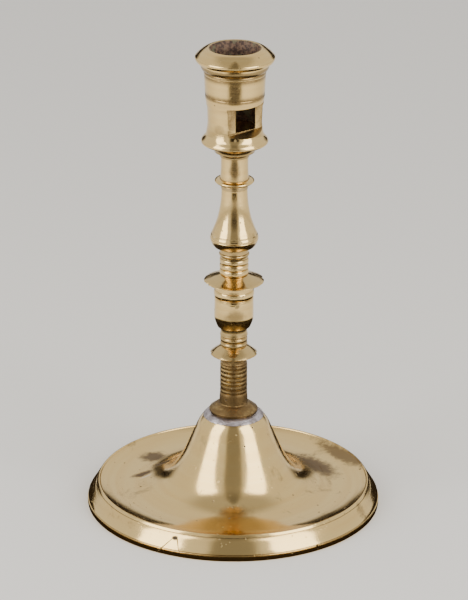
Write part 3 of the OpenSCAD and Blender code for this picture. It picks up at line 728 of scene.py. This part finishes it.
# partly tarnish, partly painted reflection of dark surroundings: the shank's brass is made browner and
# duller all over than the stem brass above it
brassShank = makeBrass("brassShank", polish=0.24, tarnish=0.85, dull=0.95, lines=2.0, scratches=0.5,
                       pits=0.12, dark=[((-9.4, -6.7, 51.4), (0.6, 0.6, 0.5), 0.5, 1)],
                       brown=[((0.3, -9.0, 54.0), (2.6, 2.6, 1.6), 0.7, 0.9)])
brassSocket = makeBrass("brassSocket", polish=0.11, tarnish=0.28, bore=True, paintedShadeBands=[
    # painted shade: brown under the socket's base bead and under the rim
    (178.0, 184.5, 0.7), (219.6, 223.6, 0.85),
], brown=[
    ((-8.7, -12.3, 214.0), (3.4, 3.4, 5.2), 0.5, 0.8),   # painted reflection: a brown oval on the upper cup's side facing the camera
    ((-12.3, -4.3, 194.4), (3.0, 4.0, 2.6), 0.8, 0.55),
], dark=[
    ((-18.2, -3.5, 233.0), (0.6, 0.6, 3.0), 0.4, 0.9),
    ((-16.3, -8.9, 230.6), (0.7, 0.7, 0.6), 0.5, 0.9),
    ((-15.0, -11.2, 229.8), (1.6, 1.0, 0.7), 0.9, 0.9),
    ((-7.4, -10.7, 189.8), (0.8, 0.8, 0.9), 0.7, 0.7),
])
solderGrey = makeSolderGrey()
ironDull = makeIronDull()
print("finishes are mixed")


# foot

foot = {
    "radius": 71.15, "bandH": 2.5, "grooveW": 0.8, "grooveD": 0.4, "wallLean": 4.6,
    "lipZ": 11.5, "lipW": 1.2, "dishSide": 15, "dishDrop": 2.8, "wall": 2.2,
    "crownZ": 46.6, "seatR": 12.2, "crownT": 4, "shoulderW": 5.4, "shoulderH": 6.2,
    "bellAngle": 67, "bellReach": 22, "dishReach": 20, "scribed": 10.0, "steps": 288,
    # a forked crack in the wall and a nick in the band: wide end, point, width, depth
    "cracks": [((-65.2, -28.4, 0.4), (-58.4, -33.6, 8.6), 0.6, 1.3),
               ((-58.3, -35.0, 8.4), (-60.5, -39.2, 2.6), 0.55, 1.3),
               ((-2.2, -71.1, 3.4), (-1.2, -71.2, 0.6), 0.9, 0.7)],
}


def shoulderLine():
    f = foot
    down = (math.cos(math.radians(f["bellAngle"])), -math.sin(math.radians(f["bellAngle"])))
    shoulderR, shoulderZ = f["seatR"] + f["shoulderW"], f["crownZ"] - f["shoulderH"]
    lead = f["shoulderH"] * 0.5
    return curve((f["seatR"], f["crownZ"]), (f["seatR"] + f["shoulderW"] * 0.28, f["crownZ"]),
                 (shoulderR - lead * down[0], shoulderZ - lead * down[1]), (shoulderR, shoulderZ))


def bellLine():
    f = foot
    down = (math.cos(math.radians(f["bellAngle"])), -math.sin(math.radians(f["bellAngle"])))
    shoulderR, shoulderZ = f["seatR"] + f["shoulderW"], f["crownZ"] - f["shoulderH"]
    dishR = f["radius"] - f["grooveD"] - f["wallLean"] - f["lipW"] - f["dishSide"]
    dishZ = f["lipZ"] - f["dishDrop"]
    return curve((shoulderR, shoulderZ),
                 (shoulderR + f["bellReach"] * down[0], shoulderZ + f["bellReach"] * down[1]),
                 (dishR - f["dishReach"], dishZ), (dishR, dishZ), 64)


def makeFoot():
    f = foot
    lipOutR = f["radius"] - f["grooveD"] - f["wallLean"]
    lipInR = lipOutR - f["lipW"]
    lipRound = f["lipW"] / 2
    dishR, dishZ = lipInR - f["dishSide"], f["lipZ"] - f["dishDrop"]
    wallFoot = f["radius"] - f["grooveD"] / 2
    lip = arcPoints(lipOutR - lipRound, f["lipZ"] - lipRound, lipRound, lipRound, 20, 160, 12)
    wall = ([(f["radius"], 0), (f["radius"], f["bandH"])]
            + hollow(wallFoot, f["grooveD"], f["bandH"], f["grooveW"], 8) + lip[:1])
    outside = (
        scribe(wall, f["scribed"], 0.2, 0.45) + lip[1:]
        + curve((lipInR, f["lipZ"] - lipRound), (lipInR - f["dishSide"] * 0.3, dishZ + lipRound),
                (lipInR - f["dishSide"] * 0.6, dishZ), (dishR, dishZ), 36)
        + bellLine()[::-1][1:] + shoulderLine()[::-1][1:])
    underCrown = f["crownZ"] - f["crownT"]
    inner = [p for p in offsetLine(bellLine(), f["wall"]) if p[1] < underCrown]
    inside = ([(recessR, f["crownZ"]), (recessR, underCrown), (inner[0][0], underCrown)] + inner
              + [(lipOutR - f["wall"], dishZ - f["wall"]),
                 (f["radius"] - f["grooveD"] - f["wall"], 0)])
    piece = turnOnLathe("footTurned", outside + inside, 0, f["steps"], 2.5)
    breakEdges(piece, 0.15)
    unevenSkin(piece, 0.12, 14)
    cutSlits(piece, f["cracks"])
    finishPiece(piece, brassFoot, "foot")


makeFoot()


# solder round the joint of stem and foot

solder = {"thickness": 0.5, "climb": 0.7, "drop": 1.9}
shank = {
    "flangeR": 11.8, "flangeT": 2.15, "undercut": 0.6, "flangeRise": 3.0, "collarR": 7.0,
    "collarH": 5.55, "r": 6.65, "reedDepth": 0.2, "reeds": 7, "pitch": 2.2, "neckH": 3.8, "neckD": 0.5,
}
flangeRootR = shank["flangeR"] - shank["undercut"]


def makeSolder():
    line = [p for p in shoulderLine() if p[1] > foot["crownZ"] - solder["drop"]]
    last = len(line) - 1
    over = [(p[0] + (q[0] - p[0]) * math.cos(math.pi / 2 * i / last),
             p[1] + (q[1] - p[1]) * math.cos(math.pi / 2 * i / last))
            for i, (p, q) in enumerate(zip(line, offsetLine(line, -solder["thickness"])))]
    outline = ([(flangeRootR, foot["crownZ"]), (flangeRootR, foot["crownZ"] + solder["climb"])]
               + over[:-1] + line[::-1])
    piece = turnOnLathe("solderRun", outline, 0, 200)
    unevenSkin(piece, 0.35, 1.3, 3)
    finishPiece(piece, solderGrey, "solder_fillet")


makeSolder()


# stem

lowerDisc = {
    "z": 76.5, "r": 11.45, "edgeT": 0.5, "rise": 3.7, "swell": 0.4, "lift": 0.8,
    "chips": [((-9.6, 6.2, 77.6), (0.45, -0.25, 0.1), 1.6), ((9.0, -6.9, 77.6), (-0.5, 0.3, 0.1), 1.4)],
}
upperDisc = {
    "z": 113.85, "r": 14.5, "edgeT": 0.5, "rise": 3.1, "swell": 0.25, "lift": 1.0,
    "chips": [((-14.2, 2.8, 115.1), (0.9, -0.1, 0.1), 1.3), ((-13.6, 4.8, 115.1), (0.6, -0.2, 0.15), 1.1),
              ((-14.3, -0.4, 115.1), (0.5, 0, 0), 0.9), ((13.0, -6.3, 115.1), (-0.4, 0.2, 0), 1.8)],
}
vase = {
    "ringR": 6.65, "ringH": 2.2, "ringGap": 0.4, "grooveD": 0.5, "footH": 4.9, "edgeR": 7.9, "r": 9.55,
    "bowlH": 5.9, "wallH": 9.1, "wallLean": 0.1, "fineH": 0.5, "fineProud": 0.25,
    "beadH": 3.6, "beadProud": 0.3, "topH": 3.15,
}
collar = {"r": 7.1, "reeds": 3, "pitch": 2.8, "depth": 0.5}
baluster = {
    "grooveH": 1.15, "grooveR": 6.7, "ringR": 7.35, "ringH": 1.6, "hollowH": 3.2, "hollowR": 6.95,
    "edgeR": 9.6, "r": 11.65, "underH": 4.7, "bodyH": 24.6, "topR": 6.3,
    "scribed": [10.05, 12.45],
}
neck = {
    "footR": 6.55, "footH": 1.4, "grooveH": 2.4, "grooveR": 6.4, "ringR": 9.5, "ringH": 2.4,
    "r": 6.55, "flare": 0.35, "h": 11.1,
}
lowerDiscT = lowerDisc["lift"] + lowerDisc["edgeT"] + lowerDisc["rise"]
upperDiscT = upperDisc["lift"] + upperDisc["edgeT"] + upperDisc["rise"]
vaseZ = lowerDisc["z"] + lowerDiscT
collarZ = upperDisc["z"] + upperDiscT
balusterZ = collarZ + collar["reeds"] * collar["pitch"]
neckZ = balusterZ + sum(baluster[k] for k in ("grooveH", "ringH", "hollowH", "underH", "bodyH"))
socketZ = neckZ + neck["grooveH"] + neck["ringH"] + neck["h"]


def makeShank():
    s = shank
    flangeH = s["flangeT"] + s["flangeRise"]
    reedsZ = flangeH + s["collarH"]
    neckLow = reedsZ + s["reeds"] * s["pitch"]
    edgeLow = s["flangeT"] * 0.55
    outside = [(flangeRootR, 0), (flangeRootR, edgeLow), (s["flangeR"], edgeLow + s["undercut"] * 0.3),
               (s["flangeR"], s["flangeT"])]
    outside += curve((s["flangeR"], s["flangeT"]), (s["flangeR"] - 2, s["flangeT"] + s["flangeRise"] * 0.5),
                     (s["collarR"] + 1.5, flangeH - 0.4), (s["collarR"] + 0.3, flangeH))[1:]
    outside += [(s["collarR"], flangeH + 0.4), (s["r"], reedsZ)]
    random.seed(11)
    low = reedsZ
    for i in range(s["reeds"]):
        # each reed is cut by eye, so they differ in width and depth
        high = reedsZ + (i + 1 + random.uniform(-0.14, 0.14)) * s["pitch"]
        depth = s["reedDepth"] * random.uniform(0.45, 1)
        outside += [(s["r"] - depth * (0.5 + 0.5 * math.cos(math.tau * k / 10)) ** 1.6,
                     low + (high - low) * k / 10) for k in range(1, 10)]
        low = high
    outside += hollow(s["r"], s["neckD"], neckLow, s["neckH"])
    spigot = [(fits["spigotR"], fits["endGap"] - foot["crownT"]), (fits["spigotR"], 0)]
    piece = turnOnLathe("shankTurned", memberOutline(spigot + outside, 0, lowerDiscT + fits["spigotH"]),
                        foot["crownZ"])
    breakEdges(piece, 0.1)
    unevenSkin(piece, 0.16, 2.2, 2)
    finishPiece(piece, brassShank, "shank")


def makeDisc(name, disc, seatLow, seatHigh, node):
    top = disc["lift"] + disc["edgeT"] + disc["rise"]
    edge = disc["edgeT"] / 2
    outline = ([(recessR, 0), (seatLow, 0)]
               + arcPoints(disc["r"] - edge, disc["lift"] + edge, edge, edge, -90, 90, 8)
               + curve((disc["r"] - edge, disc["lift"] + disc["edgeT"]),
                       (disc["r"] - edge - 1.2, disc["lift"] + disc["edgeT"] + disc["rise"] * disc["swell"]),
                       (seatHigh + 1.6, top - disc["rise"] * 0.3), (seatHigh, top))[1:]
               + [(recessR, top)])
    piece = turnOnLathe(name, outline, disc["z"], 200)
    unevenSkin(piece, 0.25, 5)
    for place, push, size in disc["chips"]:
        dent(piece, place, push, size)
    finishPiece(piece, brassStem, node)


def makeVase():
    v = vase
    step = v["ringH"] + v["ringGap"]
    root = v["ringR"] - v["grooveD"]
    footZ = 2 * step
    bowlZ = footZ + v["footH"]
    wallZ = bowlZ + v["bowlH"]
    fineZ = wallZ + v["wallH"]
    beadZ = fineZ + v["fineH"]
    topZ = beadZ + v["beadH"]
    bodyTop = v["r"] - v["wallLean"]
    beadRoot = bodyTop - v["fineProud"]
    outside = []
    for i in range(2):
        outside += bead(root, v["grooveD"], i * step, v["ringH"]) + [(root, (i + 1) * step)]
    outside += curve((v["ringR"] + 0.15, footZ + 0.5), (v["ringR"], footZ + 1.6), (root, footZ + 2),
                     (v["ringR"], bowlZ))
    outside += curve((v["edgeR"], bowlZ), ((v["edgeR"] + v["r"]) / 2, bowlZ + v["bowlH"] * 0.3),
                     (v["r"], wallZ - v["bowlH"] * 0.3), (v["r"], wallZ))
    outside += [(bodyTop, fineZ - 0.5)]
    outside += bead(beadRoot, v["fineProud"], fineZ, v["fineH"])
    outside += bead(beadRoot, v["beadProud"] + v["fineProud"], beadZ, v["beadH"])
    outside += [(beadRoot, topZ + v["topH"])]
    piece = turnOnLathe("vaseTurned", memberOutline(outside, recessH, upperDiscT + fits["spigotH"]), vaseZ)
    breakEdges(piece, 0.1)
    unevenSkin(piece, 0.16, 6)
    finishPiece(piece, brassStem, "vase_knop")


def makeCollar():
    c = collar
    outside = []
    for i in range(c["reeds"]):
        outside += bead(c["r"] - c["depth"], c["depth"], i * c["pitch"], c["pitch"])
    piece = turnOnLathe("collarReeded", memberOutline(outside, recessH, fits["spigotH"]), collarZ)
    unevenSkin(piece, 0.22, 2.4, 2)
    finishPiece(piece, brassStem, "reeded_collar")


def makeBaluster():
    b = baluster
    ringZ = b["grooveH"]
    hollowZ = ringZ + b["ringH"]
    underZ = hollowZ + b["hollowH"]
    wideZ = underZ + b["underH"]
    topZ = wideZ + b["bodyH"]
    outside = [(b["grooveR"], 0)] + bead(b["grooveR"], b["ringR"] - b["grooveR"], ringZ, b["ringH"])
    outside += curve((b["hollowR"], hollowZ), (b["hollowR"], hollowZ + b["hollowH"] * 0.5),
                     (b["hollowR"], underZ - b["hollowH"] * 0.2), (b["ringR"], underZ))
    outside += curve((b["edgeR"], underZ), (b["edgeR"] + 1.2, underZ + b["underH"] * 0.25),
                     (b["r"], wideZ - b["underH"] * 0.4), (b["r"], wideZ))
    outside += curve((b["r"], wideZ), (b["r"] - 0.2, wideZ + b["bodyH"] * 0.1),
                     (b["topR"] + 0.1, topZ - b["bodyH"] * 0.67), (b["topR"], topZ), 48)[1:]
    for z in b["scribed"]:
        outside = scribe(outside, z, 0.2, 0.5)
    piece = turnOnLathe("balusterTurned", memberOutline(outside, recessH, fits["spigotH"]), balusterZ)
    breakEdges(piece, 0.1)
    unevenSkin(piece, 0.16, 7)
    finishPiece(piece, brassStem, "baluster")


def makeNeck():
    n = neck
    ringZ = n["grooveH"]
    columnZ = ringZ + n["ringH"]
    endR = n["r"] + n["flare"]
    outside = [(n["footR"], 0), (n["footR"], n["footH"])]
    outside += hollow(n["footR"], n["footR"] - n["grooveR"], n["footH"], n["grooveH"] - n["footH"])
    outside += bead(endR, n["ringR"] - endR, ringZ, n["ringH"], 18)
    outside += curve((endR, columnZ), (n["r"], columnZ + n["h"] * 0.3), (n["r"], columnZ + n["h"] * 0.7),
                     (n["r"], columnZ + n["h"]))
    piece = turnOnLathe("neckTurned", memberOutline(outside, recessH, fits["spigotH"]), neckZ)
    unevenSkin(piece, 0.12, 5)
    finishPiece(piece, brassStem, "neck")


makeShank()
makeDisc("lowerDiscTurned", lowerDisc, shank["r"], vase["ringR"] - vase["grooveD"], "lower_disc")
makeVase()
makeDisc("upperDiscTurned", upperDisc, vase["r"] - vase["wallLean"], collar["r"] - collar["depth"],
         "upper_disc")
makeCollar()
makeBaluster()
makeNeck()


# candle socket

socket = {
    "boreR": 10.2, "mouthR": 11.5, "mouthH": 4, "baseR": 7, "coneH": 6.6, "coneR": 9.6,
    "beadR": 15.95, "beadH": 2.8, "flareH": 8.6, "lowerR": 12.9, "lowerH": 7.4, "lowerFlare": 0.3,
    "stepH": 4.2, "stepW": 0.85, "upperH": 11.4, "upperFlare": 0.55, "fineH": 1.6, "fineProud": 0.2,
    "hollowH": 4.1, "hollowW": 1.8, "rimR": 19.05, "rimEdgeH": 2.9, "rimRise": 3.9, "floorT": 14.8,
    "rodGrip": 9.0, "threadR": 2.55, "scribed": 31.0,
}
window = {"distance": 8.55, "low": -0.5, "height": 12.45, "slant": 3.0, "reach": 17.0, "ledge": 3.0}


def makeSocket():
    s = socket
    beadZ = s["coneH"]
    flareZ = beadZ + s["beadH"]
    lowerZ = flareZ + s["flareH"]
    stepZ = lowerZ + s["lowerH"]
    upperZ = stepZ + s["stepH"]
    fineZ = upperZ + s["upperH"]
    hollowZ = fineZ + s["fineH"]
    rimZ = hollowZ + s["hollowH"]
    mouthZ = rimZ + s["rimEdgeH"] + s["rimRise"]
    baseEdge, rimEdge = s["beadH"] / 2, s["rimEdgeH"] / 2
    lowerTop = s["lowerR"] + s["lowerFlare"]
    upperLow = lowerTop + s["stepW"]
    upperTop = upperLow + s["upperFlare"]
    coneZ = s["coneH"] * 0.38
    outside = curve((s["baseR"], 0), (s["baseR"], s["coneH"] * 0.3), (s["coneR"] - 1.5, coneZ),
                    (s["coneR"], coneZ))
    outside += curve((s["coneR"], coneZ), (s["coneR"] + 0.2, s["coneH"] * 0.8),
                     (s["coneR"] + 2, s["coneH"] * 0.95), (s["beadR"] - baseEdge, beadZ))[1:]
    outside += arcPoints(s["beadR"] - baseEdge, beadZ + baseEdge * 0.7, baseEdge, baseEdge * 0.7,
                         -90, 0, 12)[1:]
    outside += curve((s["beadR"], beadZ + baseEdge * 0.8), (s["beadR"], flareZ - 0.3),
                     (s["lowerR"] + 1.4, flareZ + 0.4), (s["lowerR"] + 0.8, flareZ + s["flareH"] * 0.25))
    outside += curve((s["lowerR"] + 0.7, flareZ + s["flareH"] * 0.3),
                     (s["lowerR"] + 0.3, lowerZ - s["flareH"] * 0.5),
                     (s["lowerR"], lowerZ - s["flareH"] * 0.3), (s["lowerR"], lowerZ))
    outside += [(lowerTop, stepZ)]
    outside += curve((lowerTop + s["stepW"] * 0.45, stepZ + s["stepH"] * 0.2),
                     (lowerTop + s["stepW"] * 0.5, stepZ + s["stepH"] * 0.5),
                     (upperLow - s["stepW"] * 0.2, upperZ - s["stepH"] * 0.4), (upperLow, upperZ))
    outside += [(upperTop, fineZ - 0.2), (upperTop - 0.15, fineZ)]
    outside += bead(upperTop, s["fineProud"], fineZ, s["fineH"])
    outside += curve((upperTop + 0.1, hollowZ), (upperTop + 1.5, hollowZ + s["hollowH"] * 0.2),
                     (upperTop + s["hollowW"], rimZ - s["hollowH"] * 0.5), (upperTop + s["hollowW"], rimZ))
    outside += curve((s["rimR"] - rimEdge, rimZ), (s["rimR"] - 0.4, rimZ + s["rimEdgeH"] * 0.15),
                     (s["rimR"] + 0.3, rimZ + s["rimEdgeH"] * 0.8), (s["rimR"] - 0.5, rimZ + s["rimEdgeH"]))
    outside += curve((s["rimR"] - 0.5, rimZ + s["rimEdgeH"]),
                     (s["rimR"] - 2, rimZ + s["rimEdgeH"] + s["rimRise"] * 0.45),
                     (s["mouthR"] + 3, mouthZ - 0.1), (s["mouthR"] + 1, mouthZ))[1:]
    outside += [(s["mouthR"], mouthZ - 0.4), (s["boreR"], mouthZ - s["mouthH"]), (s["boreR"], s["floorT"]),
                (0.01, s["floorT"]), (0.01, s["rodGrip"]), (s["threadR"], s["rodGrip"]),
                (s["threadR"], recessH),
                (recessR, recessH), (recessR, 0)]
    outside = scribe(outside, s["scribed"], 0.25, 0.6)
    piece = turnOnLathe("socketTurned", outside, socketZ, 200)
    cutWindow(piece)
    breakEdges(piece, 0.1)
    unevenSkin(piece, 0.12, 8)
    finishPiece(piece, brassSocket, "candle_socket")


def cutWindow(piece):
    w = window
    low, high = socket["floorT"] + w["low"], socket["floorT"] + w["height"]
    wide = 2 * w["reach"]
    deep = w["reach"] - w["distance"]
    bpy.ops.object.select_all(action="DESELECT")
    middle = (0, -(w["distance"] + deep / 2) * mm, (low + high) / 2 * mm)
    bpy.ops.mesh.primitive_cube_add(size=1, location=middle)
    cutter = bpy.context.object
    bpy.ops.object.mode_set(mode="EDIT")
    bpy.ops.transform.resize(value=(wide * mm, deep * mm, (high - low) * mm))
    bpy.ops.mesh.select_all(action="DESELECT")
    mesh = bmesh.from_edit_mesh(cutter.data)
    for edge in mesh.edges:
        edge.select_set(all(v.co.y < 0 and v.co.z < 0 for v in edge.verts))
    bmesh.update_edit_mesh(cutter.data)
    bpy.ops.transform.translate(value=(0, 0, -w["ledge"] * mm))
    bpy.ops.mesh.select_all(action="SELECT")
    bpy.ops.mesh.normals_make_consistent(inside=False)
    backToObject()
    slanted = Matrix.Rotation(-math.radians(w["slant"]), 4, "Y")
    cutter.matrix_world = Matrix.Translation((0, 0, socketZ * mm)) @ slanted @ cutter.matrix_world
    cutAway(piece, cutter)


makeSocket()


for node in ("tie_rod", "clamp_washer", "clamp_nut"):
    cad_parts[node].data.materials.clear()
    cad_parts[node].data.materials.append(ironDull)
